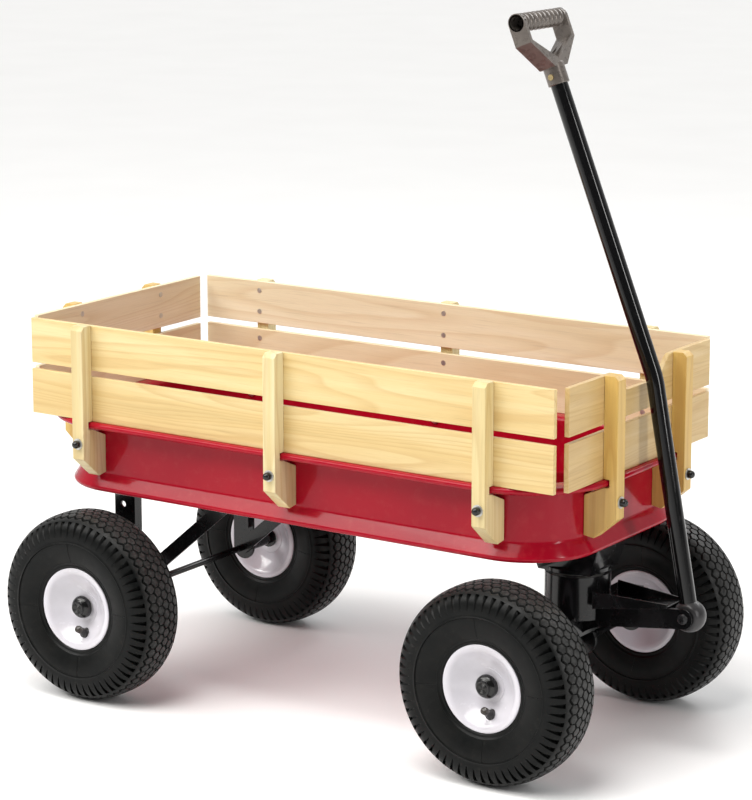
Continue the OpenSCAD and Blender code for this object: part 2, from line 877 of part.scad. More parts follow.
module half_rim() {
  sheet = 1.8;
  rs = [for (i = [0 : 8]) 17 + (seat_r - 19) * i / 8];
  rotate_extrude() polygon(concat(
    [[bearing_r, hub_half - 1]],
    [for (r = rs) [r, dish(r)]],
    [[rim_lip_r - 1.5, rim_half + 1.3], [rim_lip_r, rim_half + 0.7], [rim_lip_r, rim_half - 0.5],
     [seat_r + 2.5, rim_half - 1.5], [seat_r, rim_half - 4], [seat_r, 0], [seat_r - sheet, 0]],
    [[seat_r - sheet, dish(seat_r - 2) - 6]],
    [for (i = [7 : -1 : 0]) [rs[i], dish(rs[i]) - sheet - 0.2]],
    [[bearing_r + 2, hub_half - 4], [bearing_r + 2, 0], [bearing_r, 0]]));
}

module stem_hole(angle) {
  rotate([0, 0, angle]) translate([norm(stem_at), 0, 0]) cylinder(r = 5, h = 50);
}

module rim(x, side, stem_angle) {
  color(white) outboard(x, side) difference() {
    union() {
      half_rim();
      mirror([0, 0, 1]) half_rim();
    }
    stem_hole(stem_angle);
  }
}

module bearings(x, side) {
  color(zinc) outboard(x, side) for (m = [0, 1]) mirror([0, 0, m]) {
    translate([0, 0, hub_half - 11]) ring(bearing_r, axle_r + run_gap, 10);
    translate([0, 0, hub_half - 1]) ring(14, axle_r + run_gap, 1);
  }
}

module valve_stem(x, side, stem_angle) {
  r = norm(stem_at);
  color(rubber) outboard(x, side) rotate([0, 0, stem_angle]) translate([r, 0, 0]) {
    translate([0, 0, 12]) cylinder(r = 5, h = 12);
    translate([0, 0, 24]) rotate([0, -32, 0]) {
      sphere(r = 4.6);
      cylinder(r = 3.4, h = 12);
      translate([0, 0, 9]) cylinder(r = 4.1, h = 8);
    }
  }
}

wheels = [["rear_right", rear_axle_x, -1, -80], ["rear_left", rear_axle_x, 1, 40],
  ["front_right", front_axle_x, -1, -78], ["front_left", front_axle_x, 1, 150]];

at_origin() {
  tray();
  right_upper_slat();
  right_lower_slat();
  left_upper_slat();
  left_lower_slat();
  front_upper_slat();
  front_lower_slat();
  rear_upper_slat();
  rear_lower_slat();
  right_stakes();
  left_stakes();
  front_stakes();
  rear_stakes();
  slat_screws();
  stake_bolts();
  stake_washers();
  stake_cap_nuts();
  rear_bracket_right();
  rear_bracket_left();
  rear_braces();
  rear_axle();
  rear_axle_spacers();
  rear_axle_washers();
  rear_axle_caps();
  chassis_bolts();
  chassis_nuts();
  front_bolster();
  kingpin();
  kingpin_nut();
  thrust_washer();
  steering_yoke();
  front_axle();
  front_axle_spacers();
  front_axle_washers();
  front_axle_caps();
  tongue_straps();
  tongue_channel();
  pivot_bolt();
  pivot_nut();
  pull_ball();
  handle_tube();
  grip();
  grip_screw();
  for (w = wheels) {
    tyre(w[1], w[2]);
    rim(w[1], w[2], w[3]);
    bearings(w[1], w[2]);
    valve_stem(w[1], w[2], w[3]);
  }
}
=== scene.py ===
"""Looks of the wagon with pull handle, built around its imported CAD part."""

import math

import bmesh
import bpy
import numpy as np
from mathutils import Matrix, Vector


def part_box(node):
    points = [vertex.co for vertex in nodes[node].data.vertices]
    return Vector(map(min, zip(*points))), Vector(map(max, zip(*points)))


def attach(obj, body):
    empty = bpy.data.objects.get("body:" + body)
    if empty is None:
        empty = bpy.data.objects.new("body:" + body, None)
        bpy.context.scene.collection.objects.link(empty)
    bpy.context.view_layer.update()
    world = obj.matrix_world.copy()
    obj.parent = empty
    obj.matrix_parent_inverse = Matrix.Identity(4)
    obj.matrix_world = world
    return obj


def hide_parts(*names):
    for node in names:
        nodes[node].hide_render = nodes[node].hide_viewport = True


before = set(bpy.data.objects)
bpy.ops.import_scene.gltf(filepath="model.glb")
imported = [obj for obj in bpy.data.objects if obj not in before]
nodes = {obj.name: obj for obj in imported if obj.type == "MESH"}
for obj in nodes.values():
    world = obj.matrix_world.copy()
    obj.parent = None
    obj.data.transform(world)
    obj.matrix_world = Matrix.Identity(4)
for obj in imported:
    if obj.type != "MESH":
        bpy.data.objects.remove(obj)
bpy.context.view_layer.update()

MM = 0.001
tray_lo, tray_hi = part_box("tray")
TRAY_X = (tray_lo.x + tray_hi.x) / 2

# ---------------------------------------------------------------- mesh helpers
# A shell is (points in millimetres, faces). Points are measured from the middle of the tray on the
# ground unless a piece has its own matrix.


def joined(*shells):
    """Several shells as one."""
    points, faces = [], []
    for more_points, more_faces in shells:
        base = len(points)
        points += [tuple(p) for p in more_points]
        faces += [tuple(i + base for i in f) for f in more_faces]
    return points, faces


def moved(shell, matrix):
    """A shell put through a matrix."""
    return [tuple(matrix @ Vector(p)) for p in shell[0]], shell[1]


def grid(rings, close_rings=False, caps=True):
    """A shell through rings of the same number of points."""
    n = len(rings[0])
    points = [tuple(p) for ring in rings for p in ring]
    faces = []
    last = len(rings) if close_rings else len(rings) - 1
    for i in range(last):
        a, b = i * n, (i + 1) % len(rings) * n
        faces += [(a + j, a + (j + 1) % n, b + (j + 1) % n, b + j) for j in range(n)]
    if caps and not close_rings:
        faces += [tuple(range(n))[::-1], tuple(range((len(rings) - 1) * n, len(rings) * n))]
    return points, faces


def lathe(profile, steps=96, closed=False):
    """A profile of (radius, height) turned about Z. Radius 0 makes a pole."""
    turn = [2 * math.pi * i / steps for i in range(steps)]
    points, faces, rings = [], [], []
    for r, h in profile:
        base = len(points)
        if r < 1e-6:
            points.append((0, 0, h))
            rings.append([base])
        else:
            points += [(r * math.cos(t), r * math.sin(t), h) for t in turn]
            rings.append(list(range(base, base + steps)))
    pairs = list(zip(rings, rings[1:])) + ([(rings[-1], rings[0])] if closed else [])
    for a, b in pairs:
        for i in range(steps):
            j = (i + 1) % steps
            if len(a) == 1:
                faces.append((a[0], b[j], b[i]))
            elif len(b) == 1:
                faces.append((a[i], a[j], b[0]))
            else:
                faces.append((a[i], a[j], b[j], b[i]))
    return points, faces


def extruded(outline, low, high):
    """An outline in X and Y, from height low to high."""
    return grid([[(x, y, low) for x, y in outline], [(x, y, high) for x, y in outline]])


def arc(c, r, a0, a1, n=8):
    """Points of an arc in degrees, both ends included."""
    angles = [math.radians(a0 + (a1 - a0) * i / n) for i in range(n + 1)]
    return [(c[0] + r * math.cos(a), c[1] + r * math.sin(a)) for a in angles]


FLAT_XZ = Matrix.Rotation(math.radians(90), 4, "X")  # an outline's Y goes up, its Z to the right


def piece(name, shell, body, material, replaced=(), matrix=None, sharp=32, board=None):
    """Makes a piece from a shell in millimetres and hangs it on a CAD body."""
    data = bpy.data.meshes.new(name)
    scaled = [(x * MM, y * MM, z * MM) for x, y, z in shell[0]]
    data.from_pydata(scaled, [], shell[1])
    work = bmesh.new()
    work.from_mesh(data)
    bmesh.ops.recalc_face_normals(work, faces=work.faces)
    work.to_mesh(data)
    work.free()
    return piece_of(name, data, body, material, replaced, matrix, sharp, board)


def piece_of(name, data, body, material, replaced, matrix, sharp=32, board=None):
    """Makes a piece from a mesh, which several pieces may share."""
    data.shade_smooth()
    data.set_sharp_from_angle(angle=math.radians(sharp))
    if not data.materials:
        data.materials.append(material)
    if board is not None:
        mark = data.attributes.new("board", "FLOAT", "POINT")
        mark.data.foreach_set("value", [board] * len(data.vertices))
    obj = bpy.data.objects.new(name, data)
    bpy.context.scene.collection.objects.link(obj)
    obj.matrix_world = Matrix.Translation((TRAY_X, 0, 0)) if matrix is None else matrix
    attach(obj, body)
    if replaced:
        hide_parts(*replaced)
    return obj


def bevel(obj, width, segments=3, angle=32):
    """Rounds the sharp edges of a piece by a width in millimetres."""
    mod = obj.modifiers.new("edges", "BEVEL")
    mod.width = width * MM
    mod.segments = segments
    mod.limit_method = "ANGLE"
    mod.angle_limit = math.radians(angle)
    mod.harden_normals = True
    obj.data.shade_smooth()
    return obj


def dress(node, material, width):
    """Gives a CAD node its material and rounded edges."""
    obj = nodes[node]
    obj.data.materials.clear()
    obj.data.materials.append(material)
    custom = obj.data.attributes.get("custom_normal")
    if custom:
        obj.data.attributes.remove(custom)
    weld = obj.modifiers.new("weld", "WELD")
    weld.merge_threshold = 1e-6
    flat = obj.modifiers.new("flat faces", "DECIMATE")
    flat.decimate_type = "DISSOLVE"
    flat.angle_limit = math.radians(0.5)
    bevel(obj, width, 2)


# ---------------------------------------------------------------- materials


class Paint:
    """A node material under construction, with short calls for the nodes it needs."""

    def __init__(self, name):
        self.material = bpy.data.materials.new(name)
        self.material.use_nodes = True
        self.tree = self.material.node_tree
        self.shader = self.tree.nodes["Principled BSDF"]
        self.place = self.add("ShaderNodeTexCoord").outputs["Object"]

    def add(self, kind, inputs=None, **settings):
        node = self.tree.nodes.new(kind)
        for key, value in settings.items():
            setattr(node, key, value)
        for key, value in (inputs or {}).items():
            self.put(node.inputs[key], value)
        return node

    def put(self, socket, value):
        if isinstance(value, bpy.types.NodeSocket):
            self.tree.links.new(value, socket)
        else:
            socket.default_value = value

    def scaled(self, scale):
        """Object coordinates times a scale."""
        inputs = {0: self.place, 1: scale, 2: (0, 0, 0)}
        return self.add("ShaderNodeVectorMath", inputs, operation="MULTIPLY_ADD").outputs[0]

    def noise(self, scale, detail=3.0, rough=0.5, at=None, distortion=0.0):
        inputs = {"Vector": self.place if at is None else at, "Scale": scale,
                  "Detail": detail, "Roughness": rough, "Distortion": distortion}
        return self.add("ShaderNodeTexNoise", inputs).outputs["Fac"]

    def math(self, operation, a, b=0.0):
        return self.add("ShaderNodeMath", {0: a, 1: b}, operation=operation).outputs[0]

    def ramp(self, fac, *stops):
        """A colour ramp of (position, colour or grey) stops."""
        node = self.add("ShaderNodeValToRGB", {"Fac": fac})
        elements = node.color_ramp.elements
        while len(elements) < len(stops):
            elements.new(1.0)
        for element, (position, colour) in zip(elements, stops):
            element.position = position
            grey = isinstance(colour, (int, float))
            element.color = (colour,) * 3 + (1,) if grey else (*colour, 1)
        return node.outputs["Color"]

    def mix(self, fac, a, b, blend="MIX"):
        node = self.add("ShaderNodeMix", data_type="RGBA", blend_type=blend)
        for index, value in ((0, fac), (6, a), (7, b)):
            if isinstance(value, tuple):
                value = (*value, 1)
            self.put(node.inputs[index], value)
        return node.outputs[2]

    def bump(self, height, strength, distance, under=None):
        inputs = {"Height": height, "Strength": strength, "Distance": distance}
        if under is not None:
            inputs["Normal"] = under
        return self.add("ShaderNodeBump", inputs).outputs["Normal"]

    def finish(self, **values):
        """Sets the shader's sockets: Base_Color=..., Roughness=... and so on."""
        for key, value in values.items():
            socket = self.shader.inputs[key.replace("_", " ")]
            if isinstance(value, tuple) and len(value) == 3 and socket.type == "RGBA":
                value = (*value, 1)
            self.put(socket, value)
        return self.material


def red_paint():
    """Glossy baked enamel on pressed steel: faint orange peel, dust and a few fine scuffs."""
    p = Paint("red_enamel")
    shade = p.ramp(p.noise(6, 4), (0.3, (0.32, 0.0025, 0.015)), (0.7, (0.39, 0.004, 0.017)))
    dust = p.ramp(p.noise(55, 6, 0.65), (0.52, 0.0), (0.80, 0.14))
    colour = p.mix(dust, shade, (0.60, 0.12, 0.10))
    scuff = p.noise(1, 2, at=p.scaled((30, 30, 420)))
    rough = p.math("ADD", p.ramp(scuff, (0.55, 0.15), (0.80, 0.30)), p.ramp(dust, (0, 0.0), (1, 0.5)))
    peel = p.bump(p.noise(420, 2), 0.035, 0.0006)
    normal = p.bump(p.noise(14, 2), 0.05, 0.002, peel)
    return p.finish(Base_Color=colour, Roughness=rough, Normal=normal, Coat_Weight=0.18,
                    Coat_Roughness=0.06, Specular_IOR_Level=0.12)


def black_paint(name="black_enamel", rough=0.18, base=0.004):
    """Glossy black enamel on steel, with orange peel, dust and small wear marks."""
    p = Paint(name)
    spots = p.ramp(p.noise(75, 6, 0.7), (0.56, 0.0), (0.78, 0.35))
    colour = p.mix(spots, (base, base, base * 1.1), (0.018, 0.017, 0.018))
    marks = p.noise(9, 4)
    wear = p.ramp(marks, (0.35, rough), (0.75, rough + 0.14))
    gloss = p.math("ADD", wear, p.ramp(spots, (0, 0.0), (1, 0.5)))
    peel = p.bump(p.noise(380, 2), 0.05, 0.0006)
    return p.finish(Base_Color=colour, Roughness=gloss, Normal=p.bump(p.noise(40, 2), 0.05, 0.001, peel),
                    Coat_Weight=0.3, Coat_Roughness=0.07, Specular_IOR_Level=0.25)


def white_paint():
    """White enamel of the wheels, with faint road dust gathered in the bowl."""
    p = Paint("white_enamel")
    dust = p.ramp(p.noise(24, 5, 0.6), (0.45, 0.0), (0.85, 0.4))
    colour = p.mix(dust, (0.66, 0.64, 0.69), (0.50, 0.46, 0.46))
    rough = p.ramp(p.noise(60, 4), (0.35, 0.16), (0.75, 0.30))
    peel = p.bump(p.noise(300, 2), 0.05, 0.0007)
    return p.finish(Base_Color=colour, Roughness=rough, Normal=peel, Coat_Weight=0.6, Coat_Roughness=0.06)


def zinc():
    """Bright zinc plate on screws and washers, brushed and slightly stained."""
    p = Paint("zinc_plate")
    colour = p.ramp(p.noise(160, 4), (0.3, (0.42, 0.41, 0.39)), (0.7, (0.66, 0.65, 0.62)))
    rough = p.ramp(p.noise(500, 3), (0.3, 0.28), (0.7, 0.46))
    return p.finish(Base_Color=colour, Metallic=0.75, Roughness=rough,
                    Normal=p.bump(p.noise(900, 2), 0.12, 0.0002))


# Pale, middle and deep colours of the wood
TONES = {
    "board": ((0.80, 0.66, 0.36), (0.75, 0.57, 0.27), (0.58, 0.36, 0.13)),
    # a darker copy of the board tone: painted shade on the front boards
    "shaded_end_board": ((0.66, 0.50, 0.26), (0.61, 0.43, 0.19), (0.46, 0.27, 0.09)),
    # a paler copy of the board tone: painted light on the inner faces of the left and rear boards
    "pale": ((0.90, 0.82, 0.63), (0.86, 0.76, 0.54), (0.68, 0.51, 0.29)),
    # a darker copy of the side stake tone: painted shade on the front and rear stakes
    "stake": ((0.74, 0.56, 0.20), (0.68, 0.46, 0.14), (0.50, 0.27, 0.07)),
    "side_stake": ((0.78, 0.69, 0.43), (0.73, 0.60, 0.31), (0.55, 0.37, 0.15))}


def wood(name, along, tone):
    """Lacquered poplar with its grain along one axis (0 is X, 1 is Y, 2 is Z)."""
    p = Paint(name)
    board = p.add("ShaderNodeAttribute", attribute_name="board").outputs["Fac"]
    shift = p.add("ShaderNodeCombineXYZ", {0: p.math("MULTIPLY", board, 7.3),
                                           1: p.math("MULTIPLY", board, 3.1),
                                           2: p.math("MULTIPLY", board, 5.7)}).outputs[0]
    place = p.add("ShaderNodeVectorMath", {0: p.place, 1: shift}, operation="ADD").outputs[0]
    p.place = place

    def stretch(across, lengthwise):
        """Object coordinates scaled across and along the grain."""
        scale = [across] * 3
        scale[along] = lengthwise
        return p.scaled(tuple(scale))

    wander = p.noise(1, 2, at=stretch(9, 1.6))
    rings = p.noise(1, 3, 0.55, at=stretch(34, 1.5), distortion=0.9)
    flame = p.noise(1, 1, 0.4, at=stretch(10, 0.8), distortion=0.7)
    bands = p.math("FRACT", p.math("MULTIPLY", p.math("ADD", flame, p.math("MULTIPLY", wander, 0.3)), 17.0))
    line = p.ramp(bands, (0.0, 0.0), (0.50, 0.10), (0.90, 1.0), (1.0, 0.0))
    fibre = p.noise(1, 4, 0.7, at=stretch(1500, 22))
    pores = p.noise(1, 2, 0.5, at=stretch(620, 14))

    pale, mid, deep = TONES[tone]
    colour = p.ramp(rings, (0.30, pale), (0.56, mid), (0.80, tuple(0.88 * c for c in mid)))
    colour = p.mix(p.math("MULTIPLY", line, 0.42), colour, deep)
    broad = p.ramp(p.noise(1, 2, at=stretch(5, 0.9)), (0.3, (0.92, 0.88, 0.80)), (0.7, (1.04, 1.05, 1.05)))
    colour = p.mix(1.0, colour, broad, "MULTIPLY")
    colour = p.mix(p.ramp(fibre, (0.50, 0.0), (0.72, 0.22)), colour, tuple(0.6 * c for c in deep))
    colour = p.mix(p.ramp(pores, (0.60, 0.0), (0.76, 0.20)), colour, tuple(0.5 * c for c in deep))

    cells = p.add("ShaderNodeTexVoronoi", {"Vector": stretch(11, 4.2), "Scale": 1.0}, feature="F1")
    chosen = p.ramp(p.add("ShaderNodeSeparateColor", {0: cells.outputs["Color"]}).outputs[0],
                    (0.80, 0.0), (0.81, 1.0))
    near = p.ramp(cells.outputs["Distance"], (0.0, 1.0), (0.045, 0.75), (0.10, 0.0))
    knot = p.math("MULTIPLY", near, chosen)
    colour = p.mix(p.math("MULTIPLY", knot, 0.75), colour, (0.30, 0.13, 0.045))

    rough = p.ramp(fibre, (0.35, 0.36), (0.70, 0.52))
    height = p.math("ADD", p.math("MULTIPLY", fibre, 0.6), p.math("MULTIPLY", line, -0.5))
    normal = p.bump(height, 0.16, 0.0005)
    return p.finish(Base_Color=colour, Roughness=rough, Normal=normal, Coat_Weight=0.18,
                    Coat_Roughness=0.25, Specular_IOR_Level=0.4)


SHEEN_FROM, SHEEN_TO = 0.126, 0.1345  # radii in metres between which the tread is painted lighter grey, a painted highlight for its lit top


def tyre_rubber():
    """Moulded black rubber, painted lighter grey on the tread as a painted highlight, with a little brown
    dust.
    """
    p = Paint("tyre_rubber")
    tint = p.ramp(p.noise(26, 5, 0.6), (0.35, (0.003, 0.0036, 0.0036)), (0.75, (0.008, 0.008, 0.0075)))
    dust = p.ramp(p.noise(110, 6, 0.7), (0.58, 0.0), (0.80, 0.18))
    colour = p.mix(dust, tint, (0.075, 0.070, 0.058))
    flat = p.add("ShaderNodeVectorMath", {0: p.place, 1: (1, 1, 0)}, operation="MULTIPLY").outputs[0]
    radius = p.add("ShaderNodeVectorMath", {0: flat}, operation="LENGTH").outputs["Value"]
    # painted highlight: the tread's top is painted lighter grey by its radius, in patches
    tread_sheen = p.add("ShaderNodeMapRange", {0: radius, 1: SHEEN_FROM, 2: SHEEN_TO}).outputs[0]
    patchy = p.ramp(p.noise(180, 5, 0.65), (0.35, 0.25), (0.70, 1.0))
    colour = p.mix(p.math("MULTIPLY", tread_sheen, patchy), colour, (0.062, 0.062, 0.061))
    rough = p.ramp(p.noise(130, 4), (0.3, 0.30), (0.7, 0.46))
    grain = p.bump(p.noise(1400, 3), 0.22, 0.0003)
    return p.finish(Base_Color=colour, Roughness=rough, Normal=p.bump(p.noise(70, 3), 0.12, 0.0008, grain),
                    Specular_IOR_Level=0.14)


def moulded(name, base, rough, grain=1100, sheen=0.0):
    """Satin moulded plastic, soft rubber or plated metal with a fine texture; sheen is how metallic it is."""
    p = Paint(name)
    darker, lighter = tuple(0.8 * c for c in base), tuple(1.25 * c for c in base)
    colour = p.ramp(p.noise(45, 5, 0.6), (0.3, darker), (0.75, lighter))
    gloss = p.ramp(p.noise(90, 4), (0.3, rough - 0.05), (0.7, rough + 0.10))
    fine = p.bump(p.noise(grain, 3), 0.25, 0.0003)
    return p.finish(Base_Color=colour, Roughness=gloss, Normal=fine, Specular_IOR_Level=0.5, Metallic=sheen)


RED = red_paint()
BLACK = black_paint()
WHITE = white_paint()
ZINC = zinc()
# The second, darker copy of the board wood is painted shade on the front boards
BOARD_WOOD = [wood("board_wood_x", 0, "board"), wood("shaded_board_wood_y", 1, "shaded_end_board")]
# Paler copies of the wood: painted light on the inner faces of the left and rear boards
LIT_PALE_WOOD = [wood("lit_pale_wood_x", 0, "pale"), wood("lit_pale_wood_y", 1, "pale")]
# Darker copy of the stake wood: painted shade on the front and rear stakes
SHADED_END_STAKE_WOOD = wood("shaded_end_stake_wood", 2, "stake")
SIDE_STAKE_WOOD = wood("side_stake_wood", 2, "side_stake")
RUBBER = tyre_rubber()
STEM = moulded("stem_rubber", (0.014, 0.013, 0.013), 0.30)
CAP = moulded("cap_plastic", (0.006, 0.006, 0.006), 0.16, 700)
OXIDE = black_paint("black_oxide", 0.30, 0.012)
GRIP = moulded("grip_plastic", (0.15, 0.13, 0.115), 0.27, sheen=0.45)
BRASS = moulded("brass_plate", (0.55, 0.43, 0.22), 0.24, 700, sheen=1.0)
TUBE = black_paint("tube_enamel", 0.07, 0.003)
BALL = moulded("ball_plastic", (0.016, 0.015, 0.016), 0.32)

# ---------------------------------------------------------------- tray
# The same section as the CAD tray, drawn finer: millimetres out from the corner centres, and up.
HALF_L, HALF_W, WALL_R = 322, 92, 90
BASE_Z, RIM_Z, SHEET = 291, 396.5, 1.6
FLOOR_Z = BASE_Z + SHEET
PANEL_Z = FLOOR_Z + 6.4
LIP_R, KNEE_R, FLARE, FLARE_LEN = 5, 8, 32, 17.5
LIP_OFFSET = 6.25  # from the wall out to the centre of the floor's edge radius
WALL_LOW, WALL_HIGH = 345, 368
BEAD_R, BEAD_OUT, RIM_FILLET = 4.5, 126, 6


def rounded_ring(half_x, half_y, radius, z, corner=20, straight=10):
    """A ring round a rectangle with rounded corners, with the same number of points at any size."""
    cx, cy = half_x - radius, half_y - radius
    out = []
    corners = [(cx, -cy, -90), (cx, cy, 0), (-cx, cy, 90), (-cx, -cy, 180)]
    for k, (x, y, start) in enumerate(corners):
        bend = arc((x, y), radius, start, start + 90, corner)
        after = corners[(k + 1) % 4]
        stop = arc(after[:2], radius, after[2], after[2], 1)[0]
        out += bend
        out += [(bend[-1][0] + (stop[0] - bend[-1][0]) * i / straight,
                 bend[-1][1] + (stop[1] - bend[-1][1]) * i / straight) for i in range(1, straight)]
    return [(x, y, z) for x, y in out]


def tray_shell():
    """The pressed bed: panelled floor, flared base, straight wall and rolled rim, as one skin."""
    lip = (WALL_R + LIP_OFFSET, BASE_Z + LIP_R)
    rise = math.radians(FLARE)
    knee_z = lip[1] + (LIP_R + KNEE_R) * math.sin(rise) + FLARE_LEN * math.cos(rise)
    knee = (WALL_R + KNEE_R, knee_z)
    fillet = (WALL_R + RIM_FILLET, RIM_Z - SHEET - RIM_FILLET)
    bead = (BEAD_OUT - BEAD_R, RIM_Z - BEAD_R)
    inside = (arc(lip, LIP_R - SHEET, -90, FLARE, 8)
              + arc(knee, KNEE_R + SHEET, 180 + FLARE, 180, 8)
              + [(WALL_R - SHEET, WALL_LOW), (WALL_R - SHEET, WALL_HIGH)]
              + arc(fillet, RIM_FILLET + SHEET, 180, 90, 10))
    outside = (arc(bead, BEAD_R, 90, -150, 20)
               + arc(bead, BEAD_R - SHEET, -150, 90, 12)
               + arc(fillet, RIM_FILLET, 90, 180, 10)
               + [(WALL_R, WALL_HIGH), (WALL_R, WALL_LOW)]
               + arc(knee, KNEE_R, 180, 180 + FLARE, 8)
               + arc(lip, LIP_R, FLARE, -90, 10))

    def floor(z, lift, edge):
        """Rings of the floor with its raised panel, from the middle out."""
        rings = [rounded_ring(x, y, c, z + lift) for x, y, c in
                 ((30, 4, 2), (90, 40, 14), (180, 90, 30), (232 - edge, 117 - edge, 34 - edge))]
        for t in range(9):
            grow = 14 * t / 8 - edge
            drop = lift * (0.5 + 0.5 * math.cos(math.pi * t / 8))
            rings.append(rounded_ring(234 + grow, 119 + grow, 36 + grow, z + drop))
        rings.append(rounded_ring(300, 152, 66, z))
        return rings

    def walls(section):
        """Rings round the bed through a section of (distance out, height) points."""
        return [rounded_ring(HALF_L + r, HALF_W + r, r, z) for r, z in section]

    rings = floor(FLOOR_Z, PANEL_Z - FLOOR_Z, 0) + walls(inside + outside)
    rings += floor(BASE_Z, PANEL_Z - FLOOR_Z, SHEET)[::-1]
    return grid(rings)


piece("tray_shell", tray_shell(), "wagon", RED, ["tray"], sharp=50)

# ---------------------------------------------------------------- wooden sides
SLAT_INSET = 0.2  # how far a board's inner face stands inside the CAD box, in millimetres
SLAT_BOW = 0.28  # a board's largest bow, in millimetres
GRAIN_STEP = 0.618  # from one board's grain to the next, so that no two look alike


def s_curve(half_mouth, half_floor, depth, steps=12):
    """Half of the front slat's notch, from the mouth to the floor: (distance from the middle, drop)."""
    return [(half_mouth + (half_floor - half_mouth) * t, depth * (0.5 - 0.5 * math.cos(math.pi * t)))
            for t in (i / steps for i in range(steps + 1))]


def board(name, box_node, axis, number, outline=None):
    """A slat in place of its CAD node, from the node's box, with its length on X (0) or Y (1).

    The number picks the board's own bow and grain.
    """
    lo, hi = [Vector(((c.x - TRAY_X) / MM, c.y / MM, c.z / MM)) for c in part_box(box_node)]
    start, stop = lo[axis], hi[axis]
    across = 1 - axis
    inner, outer = sorted((abs(lo[across]), abs(hi[across])))
    side = 1 if lo[across] > 0 else -1
    inner += SLAT_INSET
    columns = 40
    shape = outline
    if outline is None:
        xs = [start + (stop - start) * i / columns for i in range(columns + 1)]
        shape = [(x, lo.z) for x in xs] + [(x, hi.z) for x in reversed(xs)]
    rng = np.random.default_rng(number)
    waves = rng.uniform(0, 2 * math.pi, 3)

    def warp(u):
        """The board's slight bow, never past the CAD box."""
        t = (u - start) / (stop - start)
        return SLAT_BOW * (1 + math.sin(2.2 * math.pi * t + waves[0])) / 2

    def ring(depth):
        """The board's outline at a distance from the bed's middle."""
        out = []
        for u, z in shape:
            d = side * (depth - warp(u))
            out.append((u, d, z) if axis == 0 else (d, u, z))
        return out

    # Left and rear boards take the paler copy of the wood as painted light; front boards take the darker end
    # copy as painted shade
    wood_of_side = LIT_PALE_WOOD if box_node.startswith(("left", "rear")) else BOARD_WOOD
    obj = piece(name, grid([ring(inner + SLAT_BOW), ring(outer)]), "wagon",
                wood_of_side[axis], [box_node], board=number * GRAIN_STEP)
    return bevel(obj, 0.9, 3)


def notch_outline(node):
    """The front upper slat's outline across and up, with the notch for the handle."""
    lo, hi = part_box(node)
    top, bottom = hi.z / MM, lo.z / MM
    end = hi.y / MM
    left = [(y, top - drop) for y, drop in s_curve(79, 38, 28.5)]
    right = [(-y, z) for y, z in reversed(left)]
    return [(-end, bottom), (end, bottom), (end, top)] + left + right + [(-end, top)]


for index, (side, level) in enumerate((s, lv) for s in ("right", "left") for lv in ("upper", "lower")):
    board(f"{side}_{level}_board", f"{side}_{level}_slat", 0, index + 3)
for index, (end, level) in enumerate((e, lv) for e in ("front", "rear") for lv in ("upper", "lower")):
    node = f"{end}_{level}_slat"
    outline = notch_outline(node) if node == "front_upper_slat" else None
    board(f"{end}_{level}_board", node, 1, index + 9, outline)

STAKE_W, STAKE_IN, STAKE_OUT, STAKE_TOP, CHAMFER = 20, 118, 139, 534.5, 6
STAKE_LINE = [
    (STAKE_IN, STAKE_TOP), (STAKE_OUT - CHAMFER, STAKE_TOP), (STAKE_OUT, STAKE_TOP - CHAMFER),
    (STAKE_OUT, 345), (WALL_R + 15, 316), (WALL_R, 318.5), (WALL_R, 373), (120, RIM_Z - 10.5),
    (BEAD_OUT + 1, RIM_Z - 10), (BEAD_OUT + 1, RIM_Z + 0.5), (STAKE_IN, RIM_Z + 0.5)]


def stake_shell():
    """A stake in the tray wall's own frame: X out of the wall, Z up."""
    return moved(extruded(STAKE_LINE, -STAKE_W / 2, STAKE_W / 2), FLAT_XZ)


def stake_matrix(x, y, turn):
    """A matrix that puts a stake's frame at (x, y), turned to its side of the bed."""
    return Matrix.Translation((x, y, 0)) @ Matrix.Rotation(math.radians(turn), 4, "Z")


STAKE_PLACES = {
    "right": [(x, -HALF_W, -90) for x in (-330, 0, 330)],
    "left": [(x, HALF_W, 90) for x in (-330, 0, 330)],
    "front": [(HALF_L, y, 0) for y in (-HALF_W, HALF_W)],
    "rear": [(-HALF_L, y, 180) for y in (-HALF_W, HALF_W)]}

number = 20
for side, places in STAKE_PLACES.items():
    for k, place in enumerate(places):
        number += 1
        # End stakes take the darker copy of the stake wood as painted shade
        stake = piece(f"{side}_stake_{k + 1}", moved(stake_shell(), stake_matrix(*place)), "wagon",
                      SHADED_END_STAKE_WOOD if side in ("front", "rear") else SIDE_STAKE_WOOD,
                      [f"{side}_stakes"], board=number * GRAIN_STEP)
        bevel(stake, 1.0, 3)

# ---------------------------------------------------------------- wheels
TYRE_R, TYRE_HALF, WIDEST_R = 135, 45, 98
SKIN_HALF = TYRE_HALF - 0.5
PITCHES = 62
CROWN_POWER = 0.72  # how square the tyre's shoulders are
SEAT_R, RIM_HALF, HUB_HALF, LIP_OUT = 51.8, 34.5, 17, 59
GROOVES = [-28.0, -16.8, -5.6, 5.6, 16.8, 28.0]
GROOVE_MOUTH, GROOVE_FLOOR, GROOVE_DEPTH, SIPE_DEPTH, SWING = 2.0, 1.45, 4.8, 3.4, 2.2
LUGS = (7, 11, 15, 20, 25, 30, 35, 39, 43)  # angles of the shoulder's rows
# Rows of the sidewall: radius, and height over the plain wall
SIDEWALL = ((60.4, 0.6), (61.6, 0.9), (62.8, 0.4), (63.6, -0.3), (65.6, -0.3), (66.2, 0.35), (67.0, 0.35),
            (67.6, -0.2), (72, -0.3), (78, -0.35), (84, -0.4), (90, -0.4), (94.5, -0.6), (96.4, -0.9),
            (97.0, 0.5), (97.6, 0.75), (98.3, 0.45), (99.0, 0.0))
# The casing's inner wall: radius and width
CASING = ((64, -28), (98, -37), (124, -22), (126, 0), (124, 22), (98, 37), (64, 28))


